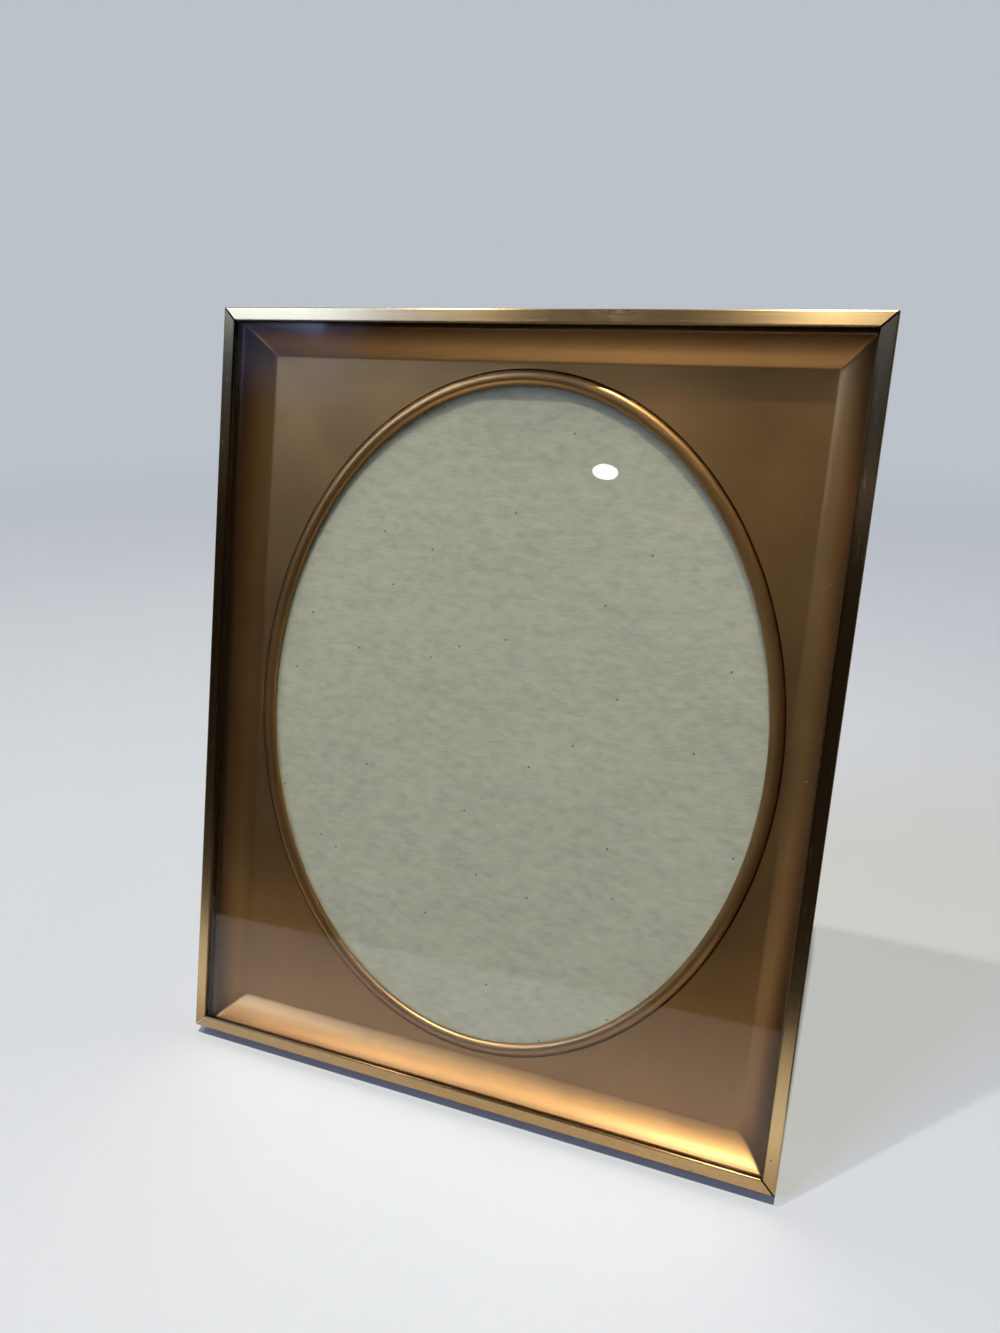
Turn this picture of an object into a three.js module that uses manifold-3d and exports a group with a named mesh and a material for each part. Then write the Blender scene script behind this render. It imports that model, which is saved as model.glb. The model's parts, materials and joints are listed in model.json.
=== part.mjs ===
// A metal table frame for a photograph, whose stamped liner shows the picture through a beaded oval.
// Millimetres, +Z up. It stands as on a table, leaning back on its open easel leg, with its face towards -Y
// and the middle of its footprint at the origin.
// The pieces are built in the frame's own axes: x to the right, y up the face and z out of the face. The face
// of the rails is z = 0, so a piece at a depth d behind it lies at z = -d.
import * as THREE from "three";
import { mergeVertices } from "three/addons/utils/BufferGeometryUtils.js";
import Module from "manifold-3d";

const wasm = await Module();
wasm.setup();

const { degToRad } = THREE.MathUtils;
const { sin, cos, tan, PI } = Math;

// Overall size, and how the frame stands
const FRAME_WIDTH = 209;
const FRAME_HEIGHT = 257;
const LEAN = degToRad(14);
// Clearance between pieces that lie against each other
const GAP = 0.3;

// Rails: thin channel with a narrow face, a deep outer wall and a rear return
const FACE_WIDTH = 4.4;
const RAIL_SHEET = 0.8;
const RETURN_WIDTH = 2.5;
const FRONT_EDGE_RADIUS = 0.6;
const MITRE_GAP = 0.3;
const EDGE_STEPS = 4;

// Corner angles: bent strips inside the mitred corners
const ANGLE_LENGTH = 20;
const ANGLE_SHEET = 0.6;

// The pack of glass, liner and sheets is loose in the rails: it has slid down and to the right
const SIDE_PLAY = 2.1;
const END_PLAY = 1.1;
const SETTLED_SIDE_GAP = 0.9;
const SETTLED_END_GAP = GAP;
const GLASS_THICKNESS = 2;
const INSERT_THICKNESS = 0.3;
const FILLER_THICKNESS = 1.5;
const PANEL_THICKNESS = 2.5;

// Liner: a flange under the glass, a concave cove, a flat mat and a raised bead round the oval
const LINER_SHEET = 0.5;
const FLANGE_WIDTH = 2.8;
const COVE_WIDTH = 8.3;
const COVE_DEPTH = 6.8;
const COVE_ENTRY_SLOPE = degToRad(56);
const COVE_STEPS = 8;
const MAT_SIDE_WIDTH = 1.7;
const MAT_END_WIDTH = 2.25;
const BEAD_WIDTH = 4.4;
const BEAD_RISE = 1.4;
const BEAD_STEPS = 6;
const RIM_DROP = 0.4;
const OVAL_SIDES = 72;
// How far the liner's parts overlap before they are joined
const LINER_LAP = 0.6;

// Rivets
const SHANK_RADIUS = 1.2;
const RIVET_FLANGE_RADIUS = 2.3;
const RIVET_FLANGE_THICKNESS = 0.4;
const RIVET_HEAD_RADIUS = 2.4;
const RIVET_HEAD_HEIGHT = 0.9;
const HEAD_STEPS = 3;
const ROUND_SIDES = 12;

// Turn buttons: two on each long side, one at the top and one at the bottom
const BUTTON_SHEET = 0.6;
const BUTTON_WIDTH = 8;
const BUTTON_TAIL = 7;
const BUTTON_INSET = 12;
const BUTTON_TIP_GAP = 0.5;
const SIDE_BUTTON_SPACING = 124;

// Easel hinge and leg
const HINGE_HEIGHT = 150;
const HINGE_SHEET = 0.8;
const LEAF_WIDTH = 40;
const LEAF_HEIGHT = 18;
const LEAF_RIVET_INSET = 6.5;
const LEAF_RIVET_RISE = 11;
const KNUCKLE_RADIUS = 2.2;
const MIDDLE_KNUCKLE = 14;
const PIN_RADIUS = 1;
const PIN_HEAD_RADIUS = 1.8;
const PIN_HEAD_HEIGHT = 0.8;
const LEG_OPEN = degToRad(23);
const LEG_CLEARANCE = 0.5;
const LEG_THICKNESS = 3;
const LEG_TOP_WIDTH = 36;
const LEG_FOOT_WIDTH = 60;
const LEG_CORNER_RADIUS = 5;
const LEG_CORNER_STEPS = 5;
const LEG_LEAF_WIDTH = 28;
const LEG_LEAF_HEIGHT = 24;
const LEG_RIVET_INSET = 6;
const LEG_RIVET_DROP = 15;

// Hanger: a riveted strap with a loop for a loose ring
const HANGER_DROP = 37;
const STRAP_SHEET = 0.6;
const STRAP_WIDTH = 9;
const STRAP_LENGTH = 13;
const STRAP_RIVET_DROP = 8;
const LOOP_WIDTH = 4;
const LOOP_WALL = 0.6;
const RING_RADIUS = 7;
const RING_WIRE = 0.8;
const RING_SIDES = 8;
const RING_STEPS = 28;

// Depths of the stack behind the face
const GLASS_FRONT = RAIL_SHEET + GAP;
const LINER_FRONT = GLASS_FRONT + GLASS_THICKNESS + GAP;
const MAT_FRONT = LINER_FRONT + COVE_DEPTH;
const MAT_BACK = MAT_FRONT + LINER_SHEET;
const RIM_BACK = MAT_BACK + RIM_DROP;
const INSERT_FRONT = RIM_BACK + GAP;
const FILLER_FRONT = INSERT_FRONT + INSERT_THICKNESS + GAP;
const PANEL_FRONT = FILLER_FRONT + FILLER_THICKNESS + GAP;
const PANEL_BACK = PANEL_FRONT + PANEL_THICKNESS;
// Everything fixed to the back of the panel starts at this depth
const FITTING_FRONT = PANEL_BACK + GAP;
const FRAME_DEPTH = FITTING_FRONT + BUTTON_SHEET + GAP + RAIL_SHEET;

// Size and place of the loose pack
const INNER_WIDTH = FRAME_WIDTH - 2 * RAIL_SHEET;
const INNER_HEIGHT = FRAME_HEIGHT - 2 * RAIL_SHEET;
const PACK_WIDTH = INNER_WIDTH - 2 * SIDE_PLAY;
const PACK_HEIGHT = INNER_HEIGHT - 2 * END_PLAY;
const PACK_SHIFT_X = SIDE_PLAY - SETTLED_SIDE_GAP;
const PACK_SHIFT_Y = SETTLED_END_GAP - END_PLAY;

// Half sizes of the flat mat and of the oval opening
const MAT_HALF_WIDTH = PACK_WIDTH / 2 - FLANGE_WIDTH - COVE_WIDTH;
const MAT_HALF_HEIGHT = PACK_HEIGHT / 2 - FLANGE_WIDTH - COVE_WIDTH;
const OVAL_HALF_WIDTH = MAT_HALF_WIDTH - MAT_SIDE_WIDTH - BEAD_WIDTH;
const OVAL_HALF_HEIGHT = MAT_HALF_HEIGHT - MAT_END_WIDTH - BEAD_WIDTH;

// Hinge axis: the folded leg clears the backs of the rails, and the leg's leaf touches the knuckle's back
const LEG_FRONT = FRAME_DEPTH + LEG_CLEARANCE;
const LEG_LEAF_FRONT = LEG_FRONT + LEG_THICKNESS + GAP;
const AXIS_DEPTH = LEG_LEAF_FRONT + HINGE_SHEET - KNUCKLE_RADIUS;
const AXIS_Y = HINGE_HEIGHT - FRAME_HEIGHT / 2;
const PIN_BORE = PIN_RADIUS + GAP;
const LEAF_BACK = FITTING_FRONT + HINGE_SHEET;

// Hanger axis, at the middle of the strap's loop
const RING_SAG = RING_RADIUS - Math.sqrt(RING_RADIUS ** 2 - (LOOP_WIDTH / 2) ** 2);
const LOOP_BORE = RING_WIRE + RING_SAG + GAP;
const LOOP_RADIUS = LOOP_BORE + LOOP_WALL;
const HANGER_Y = FRAME_HEIGHT / 2 - HANGER_DROP;
const HANGER_DEPTH = FITTING_FRONT + LOOP_RADIUS;

// Finishes
const metal = (color, roughness) => new THREE.MeshStandardMaterial({ color, roughness, metalness: 1 });
const plain = (color, roughness) => new THREE.MeshStandardMaterial({ color, roughness, metalness: 0 });
const POLISHED_BRASS = metal(0xbf9f68, 0.22);
const SATIN_BRASS = metal(0xb08d5e, 0.34);
const DULL_BRASS = metal(0xa98a55, 0.42);
const STEEL = metal(0x9a9a98, 0.4);
const PALE_PAPER = plain(0x929282, 0.9);
const GREY_CARD = plain(0x8f8778, 0.95);
const BROWN_BOARD = plain(0x4a3728, 0.85);
const GLASS = new THREE.MeshStandardMaterial({
  color: 0xe8f0ec,
  roughness: 0.03,
  metalness: 0,
  transparent: true,
  opacity: 0.2,
});

// Solids that can be cut and joined
function toSolid(geometry) {
  const bare = geometry.clone();
  bare.deleteAttribute("normal");
  bare.deleteAttribute("uv");
  const merged = mergeVertices(bare);
  const vertProperties = merged.attributes.position.array;
  const triVerts = new Uint32Array(merged.index.array);
  return new wasm.Manifold(new wasm.Mesh({ numProp: 3, vertProperties, triVerts }));
}

function toGeometry(solid) {
  const { vertProperties, triVerts } = solid.getMesh();
  const geometry = new THREE.BufferGeometry();
  geometry.setAttribute("position", new THREE.BufferAttribute(vertProperties, 3));
  geometry.setIndex(new THREE.BufferAttribute(triVerts, 1));
  geometry.computeVertexNormals();
  return geometry;
}

function join(...geometries) {
  return toGeometry(geometries.map(toSolid).reduce((whole, next) => whole.add(next)));
}

function cut(geometry, tools) {
  return toGeometry(tools.map(toSolid).reduce((rest, tool) => rest.subtract(tool), toSolid(geometry)));
}

// A sheet cut to a shape, lying from the depth of its front to the depth of its back
function sheet(shape, front, thickness, steps = EDGE_STEPS) {
  const options = { depth: thickness, bevelEnabled: false, curveSegments: steps };
  return new THREE.ExtrudeGeometry(shape, options).translate(0, 0, -front - thickness);
}

function rectangle(left, bottom, width, height) {
  return new THREE.Shape()
    .moveTo(left, bottom)
    .lineTo(left + width, bottom)
    .lineTo(left + width, bottom + height)
    .lineTo(left, bottom + height);
}

function board(width, height, front, thickness) {
  return new THREE.BoxGeometry(width, height, thickness).translate(0, 0, -front - thickness / 2);
}

function rodAlongX(radius, length) {
  return new THREE.CylinderGeometry(radius, radius, length, 2 * ROUND_SIDES).rotateZ(PI / 2);
}

// A round hole from one depth to a larger one
function hole(x, y, radius, front, back) {
  const drill = new THREE.CylinderGeometry(radius, radius, back - front, ROUND_SIDES);
  return drill.rotateX(PI / 2).translate(x, y, -(front + back) / 2);
}

// The hole for a rivet through a board, with a seat for its flange in the board's front
function rivetHole(x, y, front, thickness) {
  const seat = front + RIVET_FLANGE_THICKNESS + GAP;
  return [
    hole(x, y, SHANK_RADIUS + GAP, front - GAP, front + thickness + GAP),
    hole(x, y, RIVET_FLANGE_RADIUS + GAP, front - GAP, seat),
  ];
}

// A solid of revolution about z, from points (radius, depth) listed from front to back
function turned(points) {
  const profile = points.map(([radius, depth]) => new THREE.Vector2(radius, -depth)).reverse();
  return new THREE.LatheGeometry(profile, ROUND_SIDES).rotateX(PI / 2);
}

function domeBehind(radius, height, depth) {
  const points = [];
  for (let i = 0; i <= HEAD_STEPS; i += 1) {
    const angle = ((i / HEAD_STEPS) * PI) / 2;
    points.push([i < HEAD_STEPS ? radius * cos(angle) : 0, depth + height * sin(angle)]);
  }
  return points;
}

// A rivet whose flange starts at one depth and whose domed head starts at a larger one
function rivet(front, headDepth) {
  return turned([
    [0, front],
    [RIVET_FLANGE_RADIUS, front],
    [RIVET_FLANGE_RADIUS, front + RIVET_FLANGE_THICKNESS],
    [SHANK_RADIUS, front + RIVET_FLANGE_THICKNESS],
    [SHANK_RADIUS, headDepth],
    ...domeBehind(RIVET_HEAD_RADIUS, RIVET_HEAD_HEIGHT, headDepth),
  ]);
}

// A closed ring swept round a rectangle (four mitred sides) or an ellipse (many sides) of the given half sizes.
// Profile points are (offset outwards from that path, depth).
function ring(profile, sides, halfX, halfY) {
  const corner = sides === 4 ? Math.SQRT2 : 1;
  const start = sides === 4 ? PI / 4 : 0;
  const mean = (halfX + halfY) / 2;
  const points = profile.map(([offset, depth]) => new THREE.Vector2((mean + offset) * corner, -depth));
  points.push(points[0].clone());
  const swept = new THREE.LatheGeometry(points, sides, start).rotateX(PI / 2);
  const place = swept.attributes.position;
  for (let i = 0; i < place.count; i += 1) {
    const x = place.getX(i);
    const y = place.getY(i);
    const reach = Math.hypot(x, y) / corner;
    place.setX(i, x * (1 + (halfX - mean) / reach));
    place.setY(i, y * (1 + (halfY - mean) / reach));
  }
  return swept;
}

// Rails
function railSection() {
  const lip = RAIL_SHEET / 2;
  const edge = FRONT_EDGE_RADIUS;
  return new THREE.Shape()
    .moveTo(0, -FRAME_DEPTH)
    .lineTo(0, -edge)
    .absarc(edge, -edge, edge, PI, PI / 2, true)
    .lineTo(FACE_WIDTH - lip, 0)
    .absarc(FACE_WIDTH - lip, -lip, lip, PI / 2, -PI / 2, true)
    .lineTo(RAIL_SHEET, -RAIL_SHEET)
    .lineTo(RAIL_SHEET, RAIL_SHEET - FRAME_DEPTH)
    .lineTo(RETURN_WIDTH, RAIL_SHEET - FRAME_DEPTH)
    .lineTo(RETURN_WIDTH, -FRAME_DEPTH);
}

// A rail along x with its outer wall at y = 0, mitred at both ends
function railGeometry(length) {
  const options = { depth: length, bevelEnabled: false, curveSegments: EDGE_STEPS };
  const bar = new THREE.ExtrudeGeometry(railSection(), options);
  const place = bar.attributes.position;
  for (let i = 0; i < place.count; i += 1) {
    const along = place.getZ(i) - length / 2;
    const setBack = place.getX(i) + MITRE_GAP / Math.SQRT2;
    place.setZ(i, along - Math.sign(along) * setBack);
  }
  const [x, y, z] = [0, 1, 2].map((axis) => new THREE.Vector3().setComponent(axis, 1));
  return bar.applyMatrix4(new THREE.Matrix4().makeBasis(y, z, x));
}

// Corner angles
function cornerAngleGeometry() {
  const front = LINER_FRONT + LINER_SHEET + GAP;
  const outline = new THREE.Shape()
    .moveTo(0, 0)
    .lineTo(ANGLE_LENGTH, 0)
    .lineTo(ANGLE_LENGTH, ANGLE_SHEET)
    .lineTo(ANGLE_SHEET, ANGLE_SHEET)
    .lineTo(ANGLE_SHEET, ANGLE_LENGTH)
    .lineTo(0, ANGLE_LENGTH);
  return sheet(outline, front, INSERT_FRONT - GAP - front);
}

// Liner: the flange and cove as one mitred ring, whose sheet is offset along its normal
function coveProfile() {
  const chordSlope = Math.atan2(COVE_DEPTH, COVE_WIDTH);
  const exitSlope = 2 * chordSlope - COVE_ENTRY_SLOPE;
  const radius = Math.hypot(COVE_DEPTH, COVE_WIDTH) / (2 * sin(COVE_ENTRY_SLOPE - chordSlope));
  const front = [[0, LINER_FRONT]];
  const back = [[0, LINER_FRONT + LINER_SHEET]];
  for (let i = 0; i <= COVE_STEPS; i += 1) {
    const slope = COVE_ENTRY_SLOPE + ((exitSlope - COVE_ENTRY_SLOPE) * i) / COVE_STEPS;
    const inset = FLANGE_WIDTH + radius * (sin(COVE_ENTRY_SLOPE) - sin(slope));
    const depth = LINER_FRONT + radius * (cos(slope) - cos(COVE_ENTRY_SLOPE));
    const atCrease = i === 0 || i === COVE_STEPS;
    front.push([-inset, depth]);
    back.push([
      -inset + LINER_SHEET * (atCrease ? tan(slope / 2) : sin(slope)),
      depth + LINER_SHEET * (atCrease ? 1 : cos(slope)),
    ]);
  }
  const end = -FLANGE_WIDTH - COVE_WIDTH - LINER_LAP;
  front.push([end, MAT_FRONT]);
  back.push([end, MAT_BACK]);
  return [...front, ...back.reverse()];
}

// The bead, from the rim that turns back to the insert out to the mat
function beadProfile() {
  const front = [[0, RIM_BACK]];
  const back = [[LINER_SHEET, RIM_BACK]];
  const middle = BEAD_WIDTH / 2;
  for (let i = 0; i <= BEAD_STEPS; i += 1) {
    const angle = (i / BEAD_STEPS) * PI;
    const rise = BEAD_RISE * sin(angle);
    front.push([middle - middle * cos(angle), MAT_FRONT - rise]);
    back.push([middle - (middle - LINER_SHEET) * cos(angle), MAT_BACK - rise]);
  }
  front.push([BEAD_WIDTH + LINER_LAP, MAT_FRONT]);
  back.push([BEAD_WIDTH + LINER_LAP, MAT_BACK]);
  return [...back, ...front.reverse()];
}

function linerGeometry() {
  const mat = rectangle(-MAT_HALF_WIDTH, -MAT_HALF_HEIGHT, 2 * MAT_HALF_WIDTH, 2 * MAT_HALF_HEIGHT);
  const lapped = BEAD_WIDTH + LINER_LAP / 2;
  const oval = new THREE.Path();
  oval.absellipse(0, 0, OVAL_HALF_WIDTH + lapped, OVAL_HALF_HEIGHT + lapped, 0, 2 * PI);
  mat.holes.push(oval);
  return join(
    ring(coveProfile(), 4, PACK_WIDTH / 2, PACK_HEIGHT / 2),
    sheet(mat, MAT_FRONT, LINER_SHEET, OVAL_SIDES / 2),
    ring(beadProfile(), OVAL_SIDES, OVAL_HALF_WIDTH, OVAL_HALF_HEIGHT),
  );
}

// Turn buttons: where each pivots, and which way its tip points when it is locked
const sideX = FRAME_WIDTH / 2 - BUTTON_INSET;
const endY = FRAME_HEIGHT / 2 - BUTTON_INSET;
const sideY = SIDE_BUTTON_SPACING / 2;
const BUTTONS = [
  { place: "left_upper", x: -sideX, y: sideY, turn: PI / 2 },
  { place: "left_lower", x: -sideX, y: -sideY, turn: PI / 2 },
  { place: "right_upper", x: sideX, y: sideY, turn: -PI / 2 },
  { place: "right_lower", x: sideX, y: -sideY, turn: -PI / 2 },
  { place: "top", x: 0, y: endY, turn: 0 },
  { place: "bottom", x: 0, y: -endY, turn: PI },
];

// A strip with round ends; its tip stops just short of the rail's wall, under the return
function buttonGeometry() {
  const round = BUTTON_WIDTH / 2;
  const tip = BUTTON_INSET - RAIL_SHEET - BUTTON_TIP_GAP;
  const strip = new THREE.Shape();
  strip.absarc(0, tip - round, round, 0, PI);
  strip.absarc(0, round - BUTTON_TAIL, round, PI, 2 * PI);
  const eye = new THREE.Path().absarc(0, 0, SHANK_RADIUS + GAP, 0, 2 * PI, true);
  strip.holes.push(eye);
  return sheet(strip, FITTING_FRONT, BUTTON_SHEET, ROUND_SIDES / 2);
}

// Rivets on the panel: where they are, and how thick the fitting is that each one holds
const STRAP_RIVET_Y = HANGER_Y - STRAP_RIVET_DROP;
const LEAF_RIVET_Y = AXIS_Y + LEAF_RIVET_RISE;
const leafRivetX = LEAF_WIDTH / 2 - LEAF_RIVET_INSET;
const PANEL_RIVETS = [
  ...BUTTONS.map(({ place, x, y }) => ({ name: `turn_rivet_${place}`, x, y, held: BUTTON_SHEET })),
  { name: "panel_leaf_rivet_left", x: -leafRivetX, y: LEAF_RIVET_Y, held: HINGE_SHEET },
  { name: "panel_leaf_rivet_right", x: leafRivetX, y: LEAF_RIVET_Y, held: HINGE_SHEET },
  { name: "hanger_rivet", x: 0, y: STRAP_RIVET_Y, held: STRAP_SHEET },
];

function panelGeometry() {
  const panel = board(PACK_WIDTH, PACK_HEIGHT, PANEL_FRONT, PANEL_THICKNESS);
  const holes = PANEL_RIVETS.flatMap(({ x, y }) => rivetHole(x, y, PANEL_FRONT, PANEL_THICKNESS));
  return cut(panel, holes);
}

// The panel's hinge leaf: a plate with two outer knuckles that stand off behind it
function panelLeafGeometry() {
  const plate = sheet(rectangle(-LEAF_WIDTH / 2, AXIS_Y, LEAF_WIDTH, LEAF_HEIGHT), FITTING_FRONT, HINGE_SHEET);
  const barrel = rodAlongX(KNUCKLE_RADIUS, LEAF_WIDTH).translate(0, AXIS_Y, -AXIS_DEPTH);
  const standOff = rectangle(-LEAF_WIDTH / 2, AXIS_Y, LEAF_WIDTH, KNUCKLE_RADIUS);
  const web = sheet(standOff, FITTING_FRONT, AXIS_DEPTH - FITTING_FRONT);
  const bore = rodAlongX(PIN_BORE, LEAF_WIDTH + 2 * GAP).translate(0, AXIS_Y, -AXIS_DEPTH);
  const middle = MIDDLE_KNUCKLE + 2 * GAP;
  const slot = rectangle(-middle / 2, AXIS_Y - KNUCKLE_RADIUS - GAP, middle, 2 * (KNUCKLE_RADIUS + GAP));
  const slotCut = sheet(slot, LEAF_BACK, AXIS_DEPTH + KNUCKLE_RADIUS + GAP - LEAF_BACK);
  const eyes = [-1, 1].map((side) => {
    return hole(side * leafRivetX, LEAF_RIVET_Y, SHANK_RADIUS + GAP, FITTING_FRONT - GAP, LEAF_BACK + GAP);
  });
  return cut(join(plate, web, barrel), [bore, slotCut, ...eyes]);
}

// The pin runs through all three knuckles, with a domed head outside each end
function pinGeometry() {
  const half = LEAF_WIDTH / 2 + GAP;
  const head = domeBehind(PIN_HEAD_RADIUS, PIN_HEAD_HEIGHT, half);
  const front = head.map(([radius, depth]) => [radius, -depth]).reverse();
  const pin = turned([...front, [PIN_RADIUS, -half], [PIN_RADIUS, half], ...head]);
  return pin.rotateY(PI / 2).translate(0, AXIS_Y, -AXIS_DEPTH);
}

// Pieces of the leg, in axes with the hinge at the origin and the leg folded down along -y
const legDepth = (depth) => depth - AXIS_DEPTH;
const legRivetX = LEG_LEAF_WIDTH / 2 - LEG_RIVET_INSET;
const legLean = LEG_OPEN - LEAN;

// The leaf on the leg: a wide plate below, the middle knuckle, and a tail that stops on the panel's leaf
function legLeafGeometry() {
  const neck = MIDDLE_KNUCKLE / 2;
  const wide = LEG_LEAF_WIDTH / 2;
  const shoulder = -KNUCKLE_RADIUS - 2 * GAP;
  const standOff = AXIS_DEPTH - LEAF_BACK - GAP;
  const tail = (standOff + (KNUCKLE_RADIUS - HINGE_SHEET) * cos(LEG_OPEN)) / sin(LEG_OPEN);
  const outline = new THREE.Shape()
    .moveTo(-wide, -LEG_LEAF_HEIGHT)
    .lineTo(wide, -LEG_LEAF_HEIGHT)
    .lineTo(wide, shoulder)
    .lineTo(neck, shoulder)
    .lineTo(neck, tail)
    .lineTo(-neck, tail)
    .lineTo(-neck, shoulder)
    .lineTo(-wide, shoulder);
  const front = legDepth(LEG_LEAF_FRONT);
  const plate = sheet(outline, front, HINGE_SHEET);
  const barrel = rodAlongX(KNUCKLE_RADIUS, MIDDLE_KNUCKLE);
  const bore = rodAlongX(PIN_BORE, MIDDLE_KNUCKLE + 2 * GAP);
  const eyes = [-1, 1].map((side) => {
    return hole(side * legRivetX, -LEG_RIVET_DROP, SHANK_RADIUS + GAP, front - GAP, front + HINGE_SHEET + GAP);
  });
  return cut(join(plate, barrel), [bore, ...eyes]);
}

// The leg widens towards its foot, which is cut to stand flat on the table when the leg is open
function legGeometry() {
  const top = -KNUCKLE_RADIUS - 2 * GAP;
  const axisHeight = HINGE_HEIGHT * cos(LEAN) + (FRAME_DEPTH - AXIS_DEPTH) * sin(LEAN);
  const spare = LEG_THICKNESS;
  const foot = -axisHeight / cos(legLean);
  const round = LEG_CORNER_RADIUS;
  const topX = LEG_TOP_WIDTH / 2;
  const footX = LEG_FOOT_WIDTH / 2;
  const outline = new THREE.Shape()
    .moveTo(-footX, foot - spare)
    .lineTo(footX, foot - spare)
    .lineTo(topX, top - round)
    .absarc(topX - round, top - round, round, 0, PI / 2)
    .lineTo(round - topX, top)
    .absarc(round - topX, top - round, round, PI / 2, PI);
  const front = legDepth(LEG_FRONT);
  const blank = sheet(outline, front, LEG_THICKNESS, LEG_CORNER_STEPS);
  const tableDepth = 4 * LEG_THICKNESS;
  const table = new THREE.BoxGeometry(2 * LEG_FOOT_WIDTH, tableDepth, 2 * tableDepth);
  table.translate(0, -tableDepth / 2, 0).rotateX(-legLean).translate(0, foot, 0);
  const holes = [-1, 1].flatMap((side) => rivetHole(side * legRivetX, -LEG_RIVET_DROP, front, LEG_THICKNESS));
  return cut(blank, [table, ...holes]);
}

// Hanger: a strap below its loop, and a round ring whose top wire lies in the loop
function strapGeometry() {
  const round = STRAP_WIDTH / 2;
  const neck = LOOP_WIDTH / 2;
  const outline = new THREE.Shape()
    .moveTo(-neck, HANGER_Y)
    .lineTo(-neck, HANGER_Y - LOOP_RADIUS)
    .lineTo(-round, HANGER_Y - LOOP_RADIUS - round + neck)
    .absarc(0, HANGER_Y - STRAP_LENGTH + round, round, PI, 2 * PI)
    .lineTo(round, HANGER_Y - LOOP_RADIUS - round + neck)
    .lineTo(neck, HANGER_Y - LOOP_RADIUS)
    .lineTo(neck, HANGER_Y);
  const plate = sheet(outline, FITTING_FRONT, STRAP_SHEET, ROUND_SIDES / 2);
  const loop = rodAlongX(LOOP_RADIUS, LOOP_WIDTH).translate(0, HANGER_Y, -HANGER_DEPTH);
  const bore = rodAlongX(LOOP_BORE, LOOP_WIDTH + 2 * GAP).translate(0, HANGER_Y, -HANGER_DEPTH);
  const back = FITTING_FRONT + STRAP_SHEET + GAP;
  const eye = hole(0, STRAP_RIVET_Y, SHANK_RADIUS + GAP, FITTING_FRONT - GAP, back);
  return cut(join(plate, loop), [bore, eye]);
}

function ringGeometry() {
  const wire = new THREE.TorusGeometry(RING_RADIUS, RING_WIRE, RING_SIDES, RING_STEPS);
  return wire.translate(0, -RING_RADIUS, 0);
}

// Assembly
function add(parent, name, geometry, material) {
  const mesh = new THREE.Mesh(geometry, material);
  mesh.name = name;
  parent.add(mesh);
  return mesh;
}

const frame = new THREE.Group();

function addRails() {
  const sides = [
    { place: "bottom", length: FRAME_WIDTH, offset: FRAME_HEIGHT / 2 },
    { place: "right", length: FRAME_HEIGHT, offset: FRAME_WIDTH / 2 },
    { place: "top", length: FRAME_WIDTH, offset: FRAME_HEIGHT / 2 },
    { place: "left", length: FRAME_HEIGHT, offset: FRAME_WIDTH / 2 },
  ];
  sides.forEach(({ place, length, offset }, quarter) => {
    const geometry = railGeometry(length).translate(0, -offset, 0);
    add(frame, `rail_${place}`, geometry, POLISHED_BRASS).rotation.z = (quarter * PI) / 2;
  });
}

function addCornerAngles() {
  const x = INNER_WIDTH / 2 - GAP;
  const y = INNER_HEIGHT / 2 - GAP;
  const corners = [
    { place: "bottom_left", x: -x, y: -y },
    { place: "bottom_right", x, y: -y },
    { place: "top_right", x, y },
    { place: "top_left", x: -x, y },
  ];
  corners.forEach((corner, quarter) => {
    const angle = add(frame, `corner_angle_${corner.place}`, cornerAngleGeometry(), DULL_BRASS);
    angle.position.set(corner.x, corner.y, 0);
    angle.rotation.z = (quarter * PI) / 2;
  });
}

function addPack() {
  const pack = new THREE.Group();
  pack.position.set(PACK_SHIFT_X, PACK_SHIFT_Y, 0);
  frame.add(pack);
  add(pack, "glass_pane", board(PACK_WIDTH, PACK_HEIGHT, GLASS_FRONT, GLASS_THICKNESS), GLASS);
  add(pack, "oval_liner", linerGeometry(), SATIN_BRASS);
  add(pack, "picture_insert", board(PACK_WIDTH, PACK_HEIGHT, INSERT_FRONT, INSERT_THICKNESS), PALE_PAPER);
  add(pack, "filler_card", board(PACK_WIDTH, PACK_HEIGHT, FILLER_FRONT, FILLER_THICKNESS), GREY_CARD);
}

function addBack() {
  add(frame, "back_panel", panelGeometry(), BROWN_BOARD);
  for (const { place, x, y, turn } of BUTTONS) {
    const button = add(frame, `turn_button_${place}`, buttonGeometry(), DULL_BRASS);
    button.position.set(x, y, 0);
    button.rotation.z = turn;
  }
  for (const { name, x, y, held } of PANEL_RIVETS) {
    add(frame, name, rivet(PANEL_FRONT, FITTING_FRONT + held + GAP), DULL_BRASS).position.set(x, y, 0);
  }
}

function addEasel() {
  add(frame, "panel_hinge_leaf", panelLeafGeometry(), DULL_BRASS);
  add(frame, "hinge_pin", pinGeometry(), STEEL);
  const leg = new THREE.Group();
  leg.position.set(0, AXIS_Y, -AXIS_DEPTH);
  leg.rotation.x = LEG_OPEN;
  frame.add(leg);
  add(leg, "easel_leg", legGeometry(), BROWN_BOARD);
  add(leg, "leg_hinge_leaf", legLeafGeometry(), DULL_BRASS);
  const headDepth = legDepth(LEG_LEAF_FRONT) + HINGE_SHEET + GAP;
  for (const [place, x] of [["left", -legRivetX], ["right", legRivetX]]) {
    const fastener = add(leg, `leg_leaf_rivet_${place}`, rivet(legDepth(LEG_FRONT), headDepth), DULL_BRASS);
    fastener.position.set(x, -LEG_RIVET_DROP, 0);
  }
}

function addHanger() {
  add(frame, "hanger_strap", strapGeometry(), DULL_BRASS);
  const hung = add(frame, "hanger_ring", ringGeometry(), DULL_BRASS);
  hung.position.set(0, HANGER_Y, -HANGER_DEPTH);
  hung.rotation.x = LEAN;
}

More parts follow.
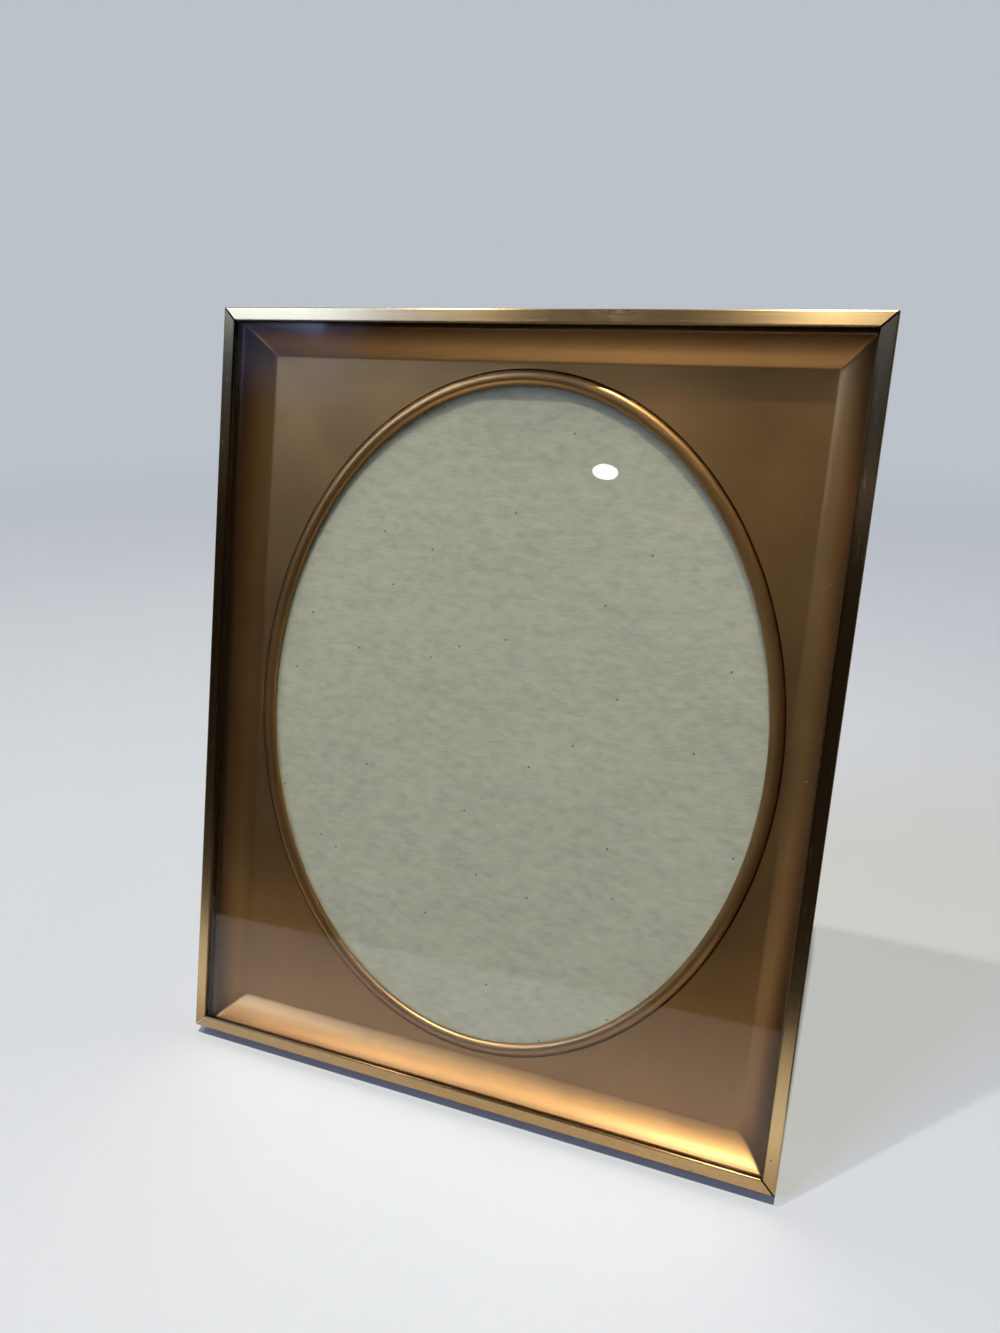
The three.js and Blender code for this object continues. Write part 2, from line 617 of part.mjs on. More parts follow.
addRails();
addCornerAngles();
addPack();
addBack();
addEasel();
addHanger();

// Standing: turned upright, leaned back, lifted on to the table and centred over its footprint
frame.rotation.x = PI / 2 - LEAN;
frame.position.z = (FRAME_HEIGHT / 2) * cos(LEAN) + FRAME_DEPTH * sin(LEAN);
const part = new THREE.Group();
part.add(frame);
const footprint = new THREE.Box3().setFromObject(part, true).getCenter(new THREE.Vector3());
frame.position.y -= footprint.y;

export default part;
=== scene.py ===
"""Looks of a brass table frame with a beaded oval liner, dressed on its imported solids. Metres, +Z up."""

import json
import math

import bmesh
import bpy
from mathutils import Matrix, Vector

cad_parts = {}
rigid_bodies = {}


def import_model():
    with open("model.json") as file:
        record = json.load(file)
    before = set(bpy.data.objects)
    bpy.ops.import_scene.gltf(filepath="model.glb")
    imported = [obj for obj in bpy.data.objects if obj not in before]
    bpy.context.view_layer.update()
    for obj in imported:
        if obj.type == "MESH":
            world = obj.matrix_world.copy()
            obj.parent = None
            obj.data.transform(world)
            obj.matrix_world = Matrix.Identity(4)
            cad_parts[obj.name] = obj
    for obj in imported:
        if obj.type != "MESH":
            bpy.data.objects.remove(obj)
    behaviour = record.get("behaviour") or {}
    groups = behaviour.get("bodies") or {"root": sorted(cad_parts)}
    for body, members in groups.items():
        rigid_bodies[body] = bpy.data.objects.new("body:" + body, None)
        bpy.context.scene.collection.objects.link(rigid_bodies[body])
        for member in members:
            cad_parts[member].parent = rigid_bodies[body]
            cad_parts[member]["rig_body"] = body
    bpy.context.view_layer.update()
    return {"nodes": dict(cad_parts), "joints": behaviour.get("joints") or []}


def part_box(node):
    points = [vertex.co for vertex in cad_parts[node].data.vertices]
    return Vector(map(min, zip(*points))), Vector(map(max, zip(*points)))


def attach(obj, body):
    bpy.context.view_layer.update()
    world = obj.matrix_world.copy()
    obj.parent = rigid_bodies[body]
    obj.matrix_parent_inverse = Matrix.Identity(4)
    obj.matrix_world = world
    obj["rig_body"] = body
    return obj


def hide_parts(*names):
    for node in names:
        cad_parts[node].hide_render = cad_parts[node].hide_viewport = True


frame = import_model()
nodes = frame["nodes"]
scene = bpy.context.scene

MM = 0.001

# The camera of the photograph, which is 1000 x 1333 pixels
IMAGE_LONG_SIDE = 1333
FOCAL_PIXELS = 913.7
SENSOR = 36.0
CAMERA_PLACE = Vector((0.0928, -0.2546, 0.2540))
CAMERA_AIM = Vector((-0.3144, 0.8759, -0.3661))
CAMERA_ROLL = math.radians(0.22)
CLIP_START = 0.01

# Shape of the stamped liner, as on the solid that it stands for
FLANGE_WIDTH = 2.8 * MM
COVE_WIDTH = 8.3 * MM
COVE_DEPTH = 6.8 * MM
COVE_ENTRY_SLOPE = math.radians(56)
COVE_STEPS = 28
MAT_SIDE_WIDTH = 1.7 * MM
MAT_END_WIDTH = 2.25 * MM
BEAD_WIDTH = 4.4 * MM
BEAD_RISE = 1.4 * MM
BEAD_STEPS = 18
FOOT_WIDTH = 0.45 * MM
FOOT_DEPTH = 0.3 * MM
RIM_DROP = 0.4 * MM
LINER_SHEET = 0.5 * MM
CREASE_REACH = 0.5 * MM
CREASE_STEPS = 4
MITRE_RADIUS = 0.7 * MM
MITRE_STEPS = 6
LONG_SIDE_STEPS = 72
SHORT_SIDE_STEPS = 60

# Finish of the brass: marks per millimetre along each axis, and places of dirt and of painted shade on the
# rails in millimetres
LEVEL_MARKS = (0.05, 4.5, 4.5)
UPRIGHT_MARKS = (4.5, 0.05, 4.5)
RAIL_BRUSHED = 0.95
LIP_BRUSHED = 0.2
COVE_BRUSHED = 0.4
RAIL_ROUGHNESS = (0.24, 0.28)
COVE_ROUGHNESS = 0.37
MAT_ROUGHNESS = 0.335
ROUGHNESS_SPREAD = 0.025
MITRE_GRIME = 0.28
# Painted shade along the inner edge of the rails' faces, by the lip
LIP_FROM = 3.75
LIP_TO = 4.1
LIP_PAINTED_SHADE = 0.85
# Painted shade that darkens the groove at the bead's foot
FOOT_PAINTED_SHADE = 0.85
# Painted shade in the liner's coves, darkest by the flange under the rail's lip and fading towards the mat
COVE_PAINTED_SHADE = 0.9
COVE_SHADE_WIDTH = 0.6 * COVE_WIDTH

# Rivets, buttons and ring, as on the solids that they stand for
SHANK_RADIUS = 1.2 * MM
RIVET_FLANGE_RADIUS = 2.3 * MM
RIVET_FLANGE_THICKNESS = 0.4 * MM
HEAD_RADIUS = 2.4 * MM
HEAD_RISE = 0.9 * MM
HEAD_STEPS = 9
EYE_CLEARANCE = 0.3 * MM
RING_WIRE = 0.8 * MM
ROUND_SIDES = 48
WIRE_SIDES = 20
RING_STEPS = 120
RING_SPLIT = math.radians(1.6)
RING_SPLIT_AT = math.radians(-60)

# Edges
RAIL_EDGE = 0.12 * MM
PLATE_EDGE = 0.1 * MM
BOARD_EDGE = 0.3 * MM
EDGE_SEGMENTS = 3
SHARP_ANGLE = math.radians(35)
FLAT_ANGLE = math.radians(0.5)
FLAT_WEIGHT = 100
PARALLEL = 0.999
WELD = 0.001 * MM

# Light: angles of azimuth run to the right from straight in front, and of elevation up from the horizon
CEILING_DISTANCE = 2.2
CEILING_COLOUR = (1.0, 0.95, 0.83)
KEY = {"azimuth": 6.5, "elevation": 77, "size": 0.03, "irradiance": 2.65}
FILL = {"azimuth": -60, "elevation": 65, "size": 0.05, "irradiance": 0.75}
LAMP_AZIMUTH = -13.8
LAMP_ELEVATION = 17.9
LAMP_MIRRORED_AT = (0.0297, 0.0827, 0.0)
LAMP_DISTANCE = 2.0
LAMP_SIZE = (0.062, 0.036)
LAMP_RADIANCE = 18.0
WINDOW_LEFT = math.radians(-53)
WINDOW_RIGHT = math.radians(-33.5)
WINDOW_LOW = math.radians(21.8)
WINDOW_HIGH = math.radians(42)
WINDOW_SOFT = math.radians(1.0)
WINDOW_LOW_SOFT = math.radians(3.5)
WINDOW_HIGH_SOFT = math.radians(12)
WINDOW_COLOUR = (3.3, 4.8, 8.6)
SILL_LEFT = math.radians(-60)
SILL_RIGHT = math.radians(-29.5)
SILL_LOW = math.radians(17.5)
SILL_HIGH = math.radians(42)
SILL_SOFT = math.radians(2.5)
SILL_COLOUR = (0.13, 0.22, 0.43)
CARD_LEFT = math.radians(-34)
CARD_RIGHT = math.radians(12)
CARD_TOP = math.radians(-14)
CARD_SIDE_SOFT = math.radians(18)
CARD_TOP_SOFT = math.radians(10)
CARD_COLOUR = (1.6, 1.48, 1.3)
ROOM_COLOUR = (0.012, 0.010, 0.008)
CEILING_GLOW = (0.10, 0.095, 0.085)
CEILING_FROM = 0.66
BACKDROP_COLOUR = (0.50, 0.535, 0.585)
WALL_COLOUR = (0.26, 0.28, 0.30)
WALL_FROM = 0.05
WALL_TO = 0.45

# Floor: a table top, mirrored in the glass only as far as its front edge, which fades into the backdrop
FLOOR_HALF_WIDTH = 6.0
FLOOR_BACK = 6.0
FLOOR_FRONT_LEFT = -0.185
FLOOR_FRONT_RIGHT = -0.265
FLOOR_CORNER = -0.4
FLOOR_SIDE = 0.16
FLOOR_COLOUR = (0.62, 0.645, 0.68)
FLOOR_SHADE = (0.60, 0.625, 0.66)
# Painted shade on the table, seen only by mirrored rays: a painted shadow near the frame, painted shade
# towards the front, and painted shade through the glass
FLOOR_NEAR_PAINTED_SHADOW = (0.36, 0.33, 0.30)
FLOOR_FRONT_PAINTED_SHADE = (0.30, 0.30, 0.30)
FLOOR_PAINTED_SHADE_IN_LINER = (0.39, 0.39, 0.39)
FLOOR_NEAR = -0.06
FLOOR_CLEAR = -0.10
FLOOR_DIM_FROM = -0.12
FLOOR_DIM_TO = -0.24
FLOOR_FADE_FROM = 0.3
FLOOR_FADE_TO = 1.6


# Axes: to the right, up and out of the face, for the frame and for its leg
def joint_axis(name):
    """The axis of a joint, as a vector."""
    return Vector(next(joint["axis"] for joint in frame["joints"] if joint["name"] == name))


def axes_of(out):
    """Axes as the columns of a matrix, from the direction out of the face."""
    right = Vector((1, 0, 0))
    return Matrix((right, out.cross(right), out)).transposed()


def leg_front():
    """The direction out of the leg's broad front."""
    face = max(nodes["easel_leg"].data.polygons, key=lambda polygon: polygon.area)
    return face.normal if face.normal.y < 0 else -face.normal


FRAME_AXES = axes_of(-joint_axis("turn_top").normalized())
LEG_AXES = axes_of(leg_front().normalized())
LEAN = math.asin(FRAME_AXES.col[2].z)


def box_along(node, axes):
    """Lowest and highest corner of a CAD node along the given axes."""
    points = [axes.transposed() @ vertex.co for vertex in nodes[node].data.vertices]
    low = Vector(min(point[axis] for point in points) for axis in range(3))
    high = Vector(max(point[axis] for point in points) for axis in range(3))
    return low, high


class Look:
    """Nodes of one material, or of the world: each method adds a node and gives back its output."""

    def __init__(self, owner):
        owner.use_nodes = True
        self.owner = owner
        self.tree = owner.node_tree
        self.tree.nodes.clear()

    def node(self, kind, inputs=None, **settings):
        made = self.tree.nodes.new("ShaderNode" + kind)
        for name, value in settings.items():
            setattr(made, name, value)
        for key, value in (inputs or {}).items():
            self.feed(made.inputs[key], value)
        return made

    def feed(self, socket, value):
        if isinstance(value, bpy.types.NodeSocket):
            self.tree.links.new(value, socket)
        else:
            socket.default_value = value

    def place(self, stretch=(1, 1, 1)):
        """Place on the piece in millimetres along the frame's axes, each axis times its stretch."""
        at_rest = self.node("TexCoord").outputs["Object"]
        turned = self.node("Mapping", {"Vector": at_rest, "Rotation": (LEAN - math.pi / 2, 0, 0)})
        scale = [factor / MM for factor in stretch]
        return self.node("Mapping", {"Vector": turned.outputs[0], "Scale": scale}).outputs[0]

    def noise(self, scale, detail=2.0, roughness=0.5, stretch=(1, 1, 1), distortion=0.0):
        inputs = {
            "Vector": self.place(stretch),
            "Scale": scale,
            "Detail": detail,
            "Roughness": roughness,
            "Distortion": distortion,
        }
        return self.node("TexNoise", inputs).outputs["Fac"]

    def specks(self, scale, size, spread="3D"):
        """1 in sparse round spots, 0 elsewhere."""
        inputs = {"Vector": self.place(), "Scale": scale}
        cells = self.node("TexVoronoi", inputs, voronoi_dimensions=spread)
        return self.fit(cells.outputs["Distance"], size, size * 0.6, 0, 1)

    def fit(self, value, low, high, to_low=0.0, to_high=1.0, curve="LINEAR"):
        inputs = {"Value": value, "From Min": low, "From Max": high, "To Min": to_low, "To Max": to_high}
        return self.node("MapRange", inputs, interpolation_type=curve).outputs["Result"]

    def ramp(self, value, *stops):
        made = self.node("ValToRGB", {"Fac": value})
        elements = made.color_ramp.elements
        while len(elements) < len(stops):
            elements.new(0.5)
        for element, (position, colour) in zip(elements, stops):
            element.position = position
            element.color = (*colour, 1)
        return made.outputs["Color"]

    def mix(self, factor, first, second):
        made = self.node("Mix", {0: factor}, data_type="RGBA")
        for socket, colour in ((made.inputs[6], first), (made.inputs[7], second)):
            self.feed(socket, colour if isinstance(colour, bpy.types.NodeSocket) else (*colour, 1))
        return made.outputs[2]

    def math(self, operation, first, second=0.0):
        return self.node("Math", {0: first, 1: second}, operation=operation).outputs[0]

    def add(self, first, second):
        return self.math("ADD", first, second)

    def times(self, first, second):
        return self.math("MULTIPLY", first, second)

    def from_sides(self, low, high):
        """Distances in millimetres from the nearer side and the nearer end of a box on the frame's face."""
        spot = self.node("SeparateXYZ", {0: self.place()}).outputs
        distances = []
        for axis, name in enumerate("XY"):
            middle = (low[axis] + high[axis]) / 2 / MM
            half = (high[axis] - low[axis]) / 2 / MM
            off_middle = self.math("ABSOLUTE", self.math("SUBTRACT", spot[name], middle))
            distances.append(self.math("SUBTRACT", half, off_middle))
        return distances

    def bump(self, height, distance):
        return self.node("Bump", {"Height": height, "Distance": distance}).outputs["Normal"]

    def across(self, brush):
        """The direction on the surface that lies across the brush marks."""
        normal = self.node("NewGeometry").outputs["Normal"]
        return self.node("VectorMath", {0: tuple(brush), 1: normal}, operation="CROSS_PRODUCT").outputs[0]

    def principled(self, inputs):
        return self.node("BsdfPrincipled", inputs).outputs["BSDF"]

    def finish(self, surface, kind="OutputMaterial"):
        self.node(kind, {"Surface": surface})
        return self.owner


def face_box():
    """Lowest and highest corner of the four rails together, along the frame's axes."""
    boxes = [box_along("rail_" + side, FRAME_AXES) for side in ("top", "bottom", "left", "right")]
    low = [min(box[0][axis] for box in boxes) for axis in range(3)]
    high = [max(box[1][axis] for box in boxes) for axis in range(3)]
    return low, high


def new_look(name):
    return Look(bpy.data.materials.new(name))


# Materials
def brushed_brass(name, brush, stretch, brushed):
    """Polished brass plate, brushed along the rail, with painted shade along the inner lip, and dirty at the
    mitres.
    """
    look = new_look(name)
    lines = look.noise(1.0, detail=4, roughness=0.65, stretch=stretch)
    clouds = look.noise(0.09, detail=3)
    colour = look.ramp(lines, (0.25, (0.70, 0.485, 0.235)), (0.75, (0.82, 0.57, 0.285)))
    colour = look.mix(look.fit(clouds, 0.35, 0.7, 0, 0.3), colour, (0.71, 0.50, 0.255))
    colour = look.mix(look.specks(0.11, 0.05), colour, (0.10, 0.06, 0.03))
    side, end = look.from_sides(*face_box())
    # painted shade along the inner lip of the face
    inner_lip_shade = look.fit(look.math("MINIMUM", side, end), LIP_FROM, LIP_TO, 0, LIP_PAINTED_SHADE)
    colour = look.mix(inner_lip_shade, colour, (0.09, 0.055, 0.025))
    off_mitre = look.math("ABSOLUTE", look.math("SUBTRACT", side, end))
    dirt = look.fit(off_mitre, MITRE_GRIME, 2 * MITRE_GRIME, 1, 0)
    colour = look.mix(dirt, colour, (0.012, 0.009, 0.006))
    inputs = {
        "Base Color": colour,
        "Metallic": 1.0,
        "Roughness": look.fit(look.add(lines, look.times(clouds, 0.4)), 0.4, 1.0, *RAIL_ROUGHNESS),
        "Anisotropic": brushed,
        "Tangent": look.across(brush),
        "Normal": look.bump(lines, 0.0015 * MM),
    }
    return look.finish(look.principled(inputs))


def satin_brass(name, roughness, brush=None, painted_shade=0.0):
    """The lacquered liner: satin with a fine grain, its coves brushed lengthwise and with painted shade
    darkening them outward; the foot's material has painted shade all over.
    """
    look = new_look(name)
    smoothest = roughness - ROUGHNESS_SPREAD
    roughest = roughness + ROUGHNESS_SPREAD
    grain = look.noise(3.2, detail=2, roughness=0.6)
    clouds = look.noise(0.035, detail=4)
    colour = look.ramp(clouds, (0.3, (0.395, 0.203, 0.068)), (0.7, (0.465, 0.238, 0.081)))
    colour = look.mix(look.times(look.fit(grain, 0.3, 0.7), 0.15), colour, (0.20, 0.10, 0.035))
    inset = look.math("MINIMUM", *look.from_sides(*box_along("oval_liner", FRAME_AXES)))
    # painted shade in the coves, darkest by the flange under the rail's lip
    cove_shade = look.fit(inset, FLANGE_WIDTH / MM, (FLANGE_WIDTH + COVE_SHADE_WIDTH) / MM, COVE_PAINTED_SHADE, 0)
    colour = look.mix(cove_shade, colour, (0.10, 0.045, 0.016))
    colour = look.mix(look.specks(0.13, 0.03), colour, (0.52, 0.42, 0.30))
    # painted shade over the whole material, used for the bead's foot groove
    colour = look.mix(painted_shade, colour, (0.02, 0.012, 0.006))
    inputs = {
        "Base Color": colour,
        "Metallic": 1.0,
        "Roughness": look.fit(look.add(grain, clouds), 0.6, 1.4, smoothest, roughest),
        "Coat Weight": 0.25,
        "Coat Roughness": 0.3,
        "Normal": look.bump(grain, 0.012 * MM),
    }
    if brush:
        inputs["Anisotropic"] = COVE_BRUSHED
        inputs["Tangent"] = look.across(brush)
    return look.finish(look.principled(inputs))


def dull_brass():
    """Small fittings: thin brass plate, handled and spotted."""
    look = new_look("dull_brass")
    scratches = look.noise(1.0, detail=3, roughness=0.6, stretch=(0.4, 3, 3))
    clouds = look.noise(0.16, detail=4)
    colour = look.ramp(clouds, (0.3, (0.40, 0.28, 0.125)), (0.7, (0.55, 0.40, 0.19)))
    colour = look.mix(look.times(look.specks(0.35, 0.06), 0.7), colour, (0.16, 0.10, 0.05))
    inputs = {
        "Base Color": colour,
        "Metallic": 1.0,
        "Roughness": look.fit(look.add(scratches, clouds), 0.6, 1.4, 0.30, 0.44),
        "Normal": look.bump(scratches, 0.005 * MM),
    }
    return look.finish(look.principled(inputs))


def drawn_steel():
    """The hinge pin: bare wire with fine marks along it."""
    look = new_look("drawn_steel")
    lines = look.noise(1.0, detail=3, stretch=(0.2, 6, 6))
    colour = look.ramp(lines, (0.3, (0.34, 0.335, 0.32)), (0.7, (0.56, 0.56, 0.55)))
    inputs = {
        "Base Color": colour,
        "Metallic": 1.0,
        "Roughness": look.fit(lines, 0.3, 0.7, 0.28, 0.42),
        "Normal": look.bump(lines, 0.006 * MM),
    }
    return look.finish(look.principled(inputs))


def picture_glass():
    """Clear glass that lets lamps through, with faint smears and a little dust."""
    look = new_look("picture_glass")
    smears = look.noise(0.05, detail=5, roughness=0.6, distortion=0.6)
    inputs = {
        "Base Color": (0.97, 0.99, 0.98, 1),
        "Roughness": look.fit(smears, 0.4, 0.75, 0.0, 0.03),
        "IOR": 1.45,
        "Transmission Weight": 1.0,
    }
    clear = look.principled(inputs)
    dust = look.principled({"Base Color": (0.55, 0.54, 0.5, 1), "Roughness": 0.9})
    dusty = look.node("MixShader", {0: look.times(look.specks(0.09, 0.02), 0.7), 1: clear, 2: dust})
    through = look.node("BsdfTransparent", {"Color": (0.93, 0.95, 0.94, 1)})
    shadow = look.node("LightPath").outputs["Is Shadow Ray"]
    mixed = look.node("MixShader", {0: shadow, 1: dusty.outputs[0], 2: through.outputs[0]})
    return look.finish(mixed.outputs[0])


def mottled_paper():
    """The insert: pale grey-green paper with cloudy mottling, fibres and a few dark specks."""
    look = new_look("mottled_paper")
    clouds = look.noise(0.028, detail=3, stretch=(0.8, 1.5, 1))
    mottle = look.noise(0.3, detail=3, roughness=0.55, stretch=(0.7, 1.3, 1))
    fibres = look.noise(1.0, detail=3, roughness=0.6, stretch=(0.35, 1.9, 1))
    coarse = look.add(look.times(mottle, 0.48), look.times(clouds, 0.14))
    blend = look.add(coarse, look.times(fibres, 0.38))
    colour = look.ramp(
        blend,
        (0.36, (0.240, 0.230, 0.175)),
        (0.5, (0.284, 0.271, 0.204)),
        (0.64, (0.324, 0.308, 0.232)),
    )
    colour = look.mix(look.times(look.specks(0.035, 0.015, "2D"), 0.85), colour, (0.05, 0.045, 0.035))
    inputs = {
        "Base Color": colour,
        "Roughness": look.fit(mottle, 0.3, 0.7, 0.8, 0.95),
        "Specular IOR Level": 0.25,
        "Normal": look.bump(look.add(fibres, mottle), 0.02 * MM),
    }
    return look.finish(look.principled(inputs))


def grey_card():
    """The filler: plain grey-brown pulp card."""
    look = new_look("grey_card")
    fibres = look.noise(1.2, detail=4, roughness=0.7)
    colour = look.ramp(fibres, (0.3, (0.22, 0.195, 0.155)), (0.7, (0.34, 0.305, 0.25)))
    inputs = {"Base Color": colour, "Roughness": 0.95, "Normal": look.bump(fibres, 0.05 * MM)}
    return look.finish(look.principled(inputs))


def hardboard():
    """Dark brown hardboard with pressed fibres, rubbed paler in places."""
    look = new_look("hardboard")
    fibres = look.noise(1.3, detail=5, roughness=0.7, distortion=0.4)
    flecks = look.noise(0.5, detail=3)
    clouds = look.noise(0.03, detail=4)
    colour = look.ramp(
        look.add(look.times(fibres, 0.6), look.times(flecks, 0.4)),
        (0.32, (0.048, 0.027, 0.016)),
        (0.52, (0.088, 0.050, 0.029)),
        (0.72, (0.150, 0.092, 0.055)),
    )
    colour = look.mix(look.fit(clouds, 0.45, 0.75, 0, 0.35), colour, (0.115, 0.075, 0.05))
    inputs = {
        "Base Color": colour,
        "Roughness": look.fit(look.add(fibres, clouds), 0.6, 1.4, 0.55, 0.8),
        "Normal": look.bump(fibres, 0.06 * MM),
    }
    return look.finish(look.principled(inputs))


# Meshes
def band(rows, closed=False):
    """Quads between neighbouring rows of equal length, each row closed on itself."""
    count = len(rows[0])
    steps = len(rows) if closed else len(rows) - 1
    faces = []
    for step in range(steps):
        here = step * count
        after = (step + 1) % len(rows) * count
        for i in range(count):
            j = (i + 1) % count
            faces.append((here + i, here + j, after + j, after + i))
    return faces


def mesh_of(name, points, faces):
    """A mesh whose faces all look outward."""
    mesh = bpy.data.meshes.new(name)
    mesh.from_pydata(points, [], faces)
    work = bmesh.new()
    work.from_mesh(mesh)
    bmesh.ops.recalc_face_normals(work, faces=work.faces)
    work.to_mesh(mesh)
    work.free()
    return mesh


def show(mesh, material, node):
    """A finer piece in place of a CAD node: it rides on the node's body, with the given material."""
    mesh.shade_smooth()
    mesh.set_sharp_from_angle(angle=SHARP_ANGLE)
    mesh.materials.append(material)
    piece = bpy.data.objects.new(mesh.name, mesh)
    scene.collection.objects.link(piece)
    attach(piece, nodes[node]["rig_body"])
    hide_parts(node)
    return piece


def keep_faces_flat(piece):
    """Shade the large faces flat, so that only the rounded edges bend the light."""
    flat = piece.modifiers.new("flat_faces", "WEIGHTED_NORMAL")
    flat.keep_sharp = True
    flat.weight = FLAT_WEIGHT


def direction_of(edge):
    return (edge.verts[1].co - edge.verts[0].co).normalized()


def refine(node, material, edge, along=None, lips=None):
    """The CAD node's own shape, welded, with its sharp edges rounded: all, or those along a direction."""
    source = nodes[node].data
    points = [vertex.co for vertex in source.vertices]
    mesh = bpy.data.meshes.new(node + "_fine")
    mesh.from_pydata(points, [], [face.vertices[:] for face in source.polygons])
    work = bmesh.new()
    work.from_mesh(mesh)
    bmesh.ops.remove_doubles(work, verts=work.verts, dist=WELD)
    bmesh.ops.dissolve_limit(work, angle_limit=FLAT_ANGLE, verts=work.verts, edges=work.edges)
    sharp = [line for line in work.edges if line.calc_face_angle(0) > SHARP_ANGLE]
    if along:
        sharp = [line for line in sharp if abs(direction_of(line).dot(along)) > PARALLEL]
    rounding = {"offset": edge, "segments": EDGE_SEGMENTS, "profile": 0.5, "clamp_overlap": True}
    rounds = bmesh.ops.bevel(work, geom=sharp, affect="EDGES", **rounding)["faces"]
    if lips:
        for face in rounds:
            face.material_index = 1
    bmesh.ops.recalc_face_normals(work, faces=work.faces)
    work.to_mesh(mesh)
    work.free()
    keep_faces_flat(show(mesh, material, node))
    if lips:
        mesh.materials.append(lips)


# The liner
def cove_profile():
    """(inset, depth) from the flange's outer edge to the mat, with softened creases."""
    chord = math.atan2(COVE_DEPTH, COVE_WIDTH)
    exit_slope = 2 * chord - COVE_ENTRY_SLOPE
    radius = math.hypot(COVE_DEPTH, COVE_WIDTH) / (2 * math.sin(COVE_ENTRY_SLOPE - chord))
    arc = []
    for i in range(COVE_STEPS + 1):
        slope = COVE_ENTRY_SLOPE + (exit_slope - COVE_ENTRY_SLOPE) * i / COVE_STEPS
        inset = FLANGE_WIDTH + radius * (math.sin(COVE_ENTRY_SLOPE) - math.sin(slope))
        arc.append(Vector((inset, radius * (math.cos(slope) - math.cos(COVE_ENTRY_SLOPE)))))
    edge = Vector((0, 0))
    mat = arc[-1] + Vector((2 * CREASE_REACH, 0))
    ends = (arc[0], arc[-1])
    inner = [point for point in arc if min((point - end).length for end in ends) > CREASE_REACH]
    return [edge, *crease(edge, arc[0], inner[0]), *inner, *crease(inner[-1], arc[-1], mat)]


def crease(before, corner, after):
    """A small round in place of a corner."""
    first = corner + (before - corner).normalized() * CREASE_REACH
    last = corner + (after - corner).normalized() * CREASE_REACH
    points = []
    for i in range(CREASE_STEPS + 1):
        t = i / CREASE_STEPS
        points.append(first * (1 - t) ** 2 + corner * 2 * t * (1 - t) + last * t**2)
    return points


def rounded_loop(half_x, half_y):
    """Points round a rectangle with small round corners, from the middle of its right side."""
    straight_x = half_x - MITRE_RADIUS
    straight_y = half_y - MITRE_RADIUS
    quarter = [(half_x, straight_y * i / LONG_SIDE_STEPS) for i in range(LONG_SIDE_STEPS)]
    for i in range(MITRE_STEPS + 1):
        angle = math.pi / 2 * i / MITRE_STEPS
        x = straight_x + MITRE_RADIUS * math.cos(angle)
        y = straight_y + MITRE_RADIUS * math.sin(angle)
        quarter.append((x, y))
    quarter += [(straight_x * (1 - i / SHORT_SIDE_STEPS), half_y) for i in range(1, SHORT_SIDE_STEPS)]
    top = [*quarter, (0, half_y), *[(-x, y) for x, y in reversed(quarter[1:])]]
    return [*top, (-half_x, 0), *[(x, -y) for x, y in reversed(top[1:])]]


def add_liner(flat, level, upright, foot_shaded):
    """The stamped sheet, in materials for its flat part, level coves, upright coves and bead's foot."""
    low, high = box_along("oval_liner", FRAME_AXES)
    half_x = (high.x - low.x) / 2
    half_y = (high.y - low.y) / 2
    mat_x = half_x - FLANGE_WIDTH - COVE_WIDTH
    mat_y = half_y - FLANGE_WIDTH - COVE_WIDTH
    oval_x = mat_x - MAT_SIDE_WIDTH - BEAD_WIDTH
    oval_y = mat_y - MAT_END_WIDTH - BEAD_WIDTH
    rows = []
    profile = cove_profile()
    for inset, depth in profile:
        rows.append([(x, y, -depth) for x, y in rounded_loop(half_x - inset, half_y - inset)])
    angles = [math.atan2(y / mat_y, x / mat_x) for x, y, z in rows[-1]]

    def oval(offset, depth):
        wide = oval_x + offset
        tall = oval_y + offset
        return [(wide * math.cos(angle), tall * math.sin(angle), -depth) for angle in angles]

    rows.append(oval(BEAD_WIDTH + FOOT_WIDTH, COVE_DEPTH))
    rows.append(oval(BEAD_WIDTH + FOOT_WIDTH / 2, COVE_DEPTH + FOOT_DEPTH))
    for i in range(BEAD_STEPS + 1):
        turn = math.pi * i / BEAD_STEPS
        rows.append(oval(BEAD_WIDTH / 2 * (1 + math.cos(turn)), COVE_DEPTH - BEAD_RISE * math.sin(turn)))
    rows.append(oval(0, COVE_DEPTH + RIM_DROP))
    centre = Vector(((low.x + high.x) / 2, (low.y + high.y) / 2, high.z))
    points = [FRAME_AXES @ (centre + Vector(point)) for row in rows for point in row]
    mesh = bpy.data.meshes.new("oval_liner_fine")
    mesh.from_pydata(points, [], band(rows))
    piece = show(mesh, flat, "oval_liner")
    for material in (level, upright, foot_shaded):
        mesh.materials.append(material)
    loop = len(rows[0])
    mat_row = len(profile) - 1
    for face in mesh.polygons[:mat_row * loop]:
        x, y, z = FRAME_AXES.transposed() @ face.center - centre
        face.material_index = 1 if half_y - abs(y) < half_x - abs(x) else 2
    # the two rows of the bead's foot groove take the material with painted shade
    for face in mesh.polygons[(mat_row + 1) * loop:(mat_row + 3) * loop]:
        face.material_index = 3
    sheet = piece.modifiers.new("sheet", "SOLIDIFY")
    sheet.thickness = LINER_SHEET
    sheet.offset = -1
    sheet.use_even_offset = True


# Fittings
def circle(radius, z, count=ROUND_SIDES):
    """Points round a circle at a height."""
    angles = [2 * math.pi * i / count for i in range(count)]
    return [(radius * math.cos(angle), radius * math.sin(angle), z) for angle in angles]


